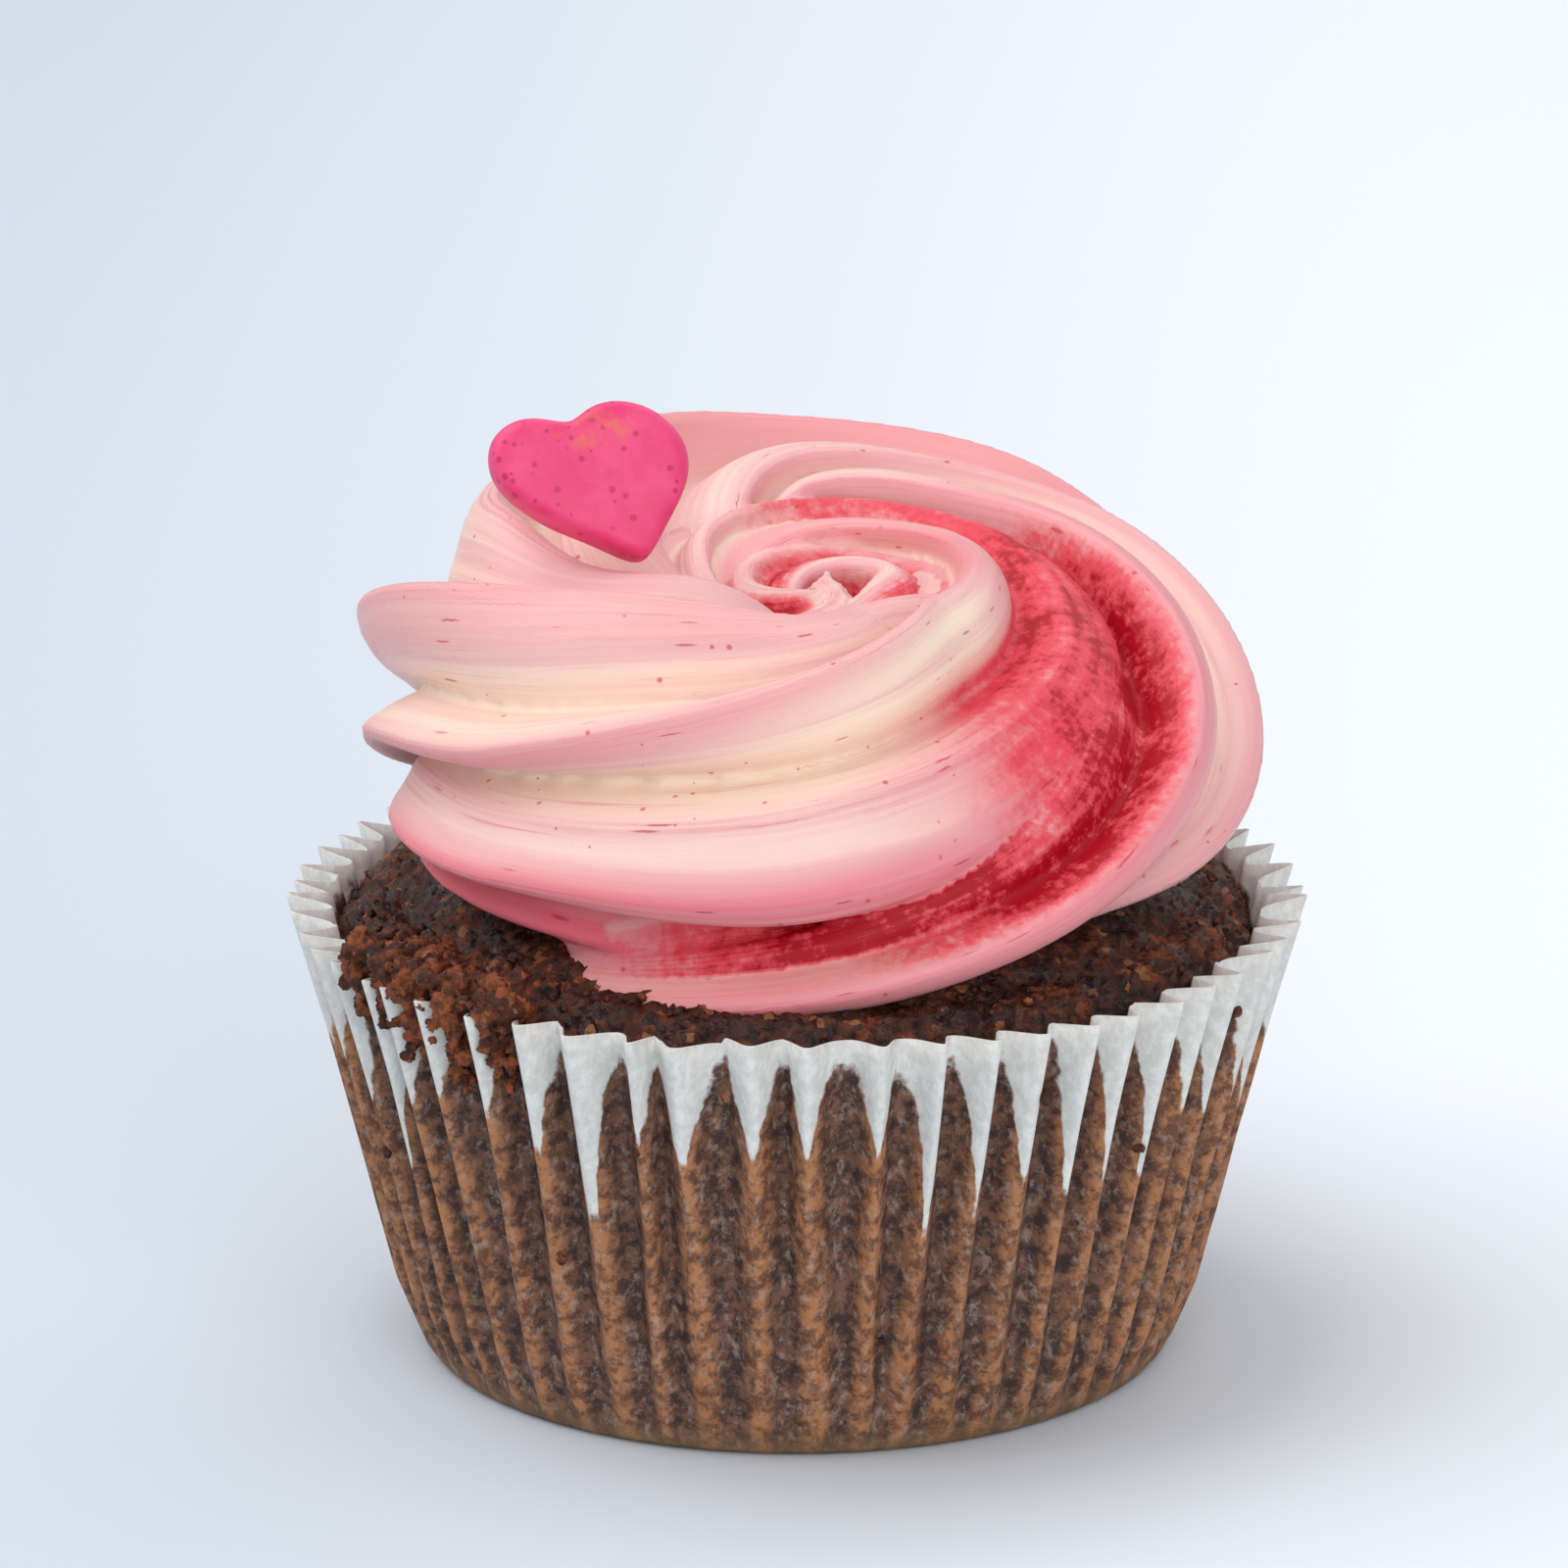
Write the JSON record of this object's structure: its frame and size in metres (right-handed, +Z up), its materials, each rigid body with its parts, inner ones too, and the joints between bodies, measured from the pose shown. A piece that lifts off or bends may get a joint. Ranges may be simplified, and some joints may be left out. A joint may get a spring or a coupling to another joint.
{
  "type": "cupcake",
  "caption": "Chocolate cupcake in a fluted paper baking case, topped with a wide piped swirl of pink and cream frosting and a small sugar heart.",
  "frame": {"origin": "middle of the paper case's flat underside", "axes": "+Z up through the middle of the case; -Y towards the front, the side the sugar heart faces"},
  "size_m": [0.068, 0.068, 0.0646],
  "materials": {
    "paper": "matte greaseproof paper, stained brown where it touches the cake",
    "chocolate_cake": "moist dark crumb with a soft uneven gloss",
    "buttercream": "soft satin buttercream streaked with pink, cream and red",
    "pink_sugar": "smooth pressed sugar"
  },
  "bodies": {
    "root": {"paper_case": "paper", "cake": "chocolate_cake", "frosting": "buttercream", "sugar_heart": "pink_sugar"}
  },
  "joints": []
}
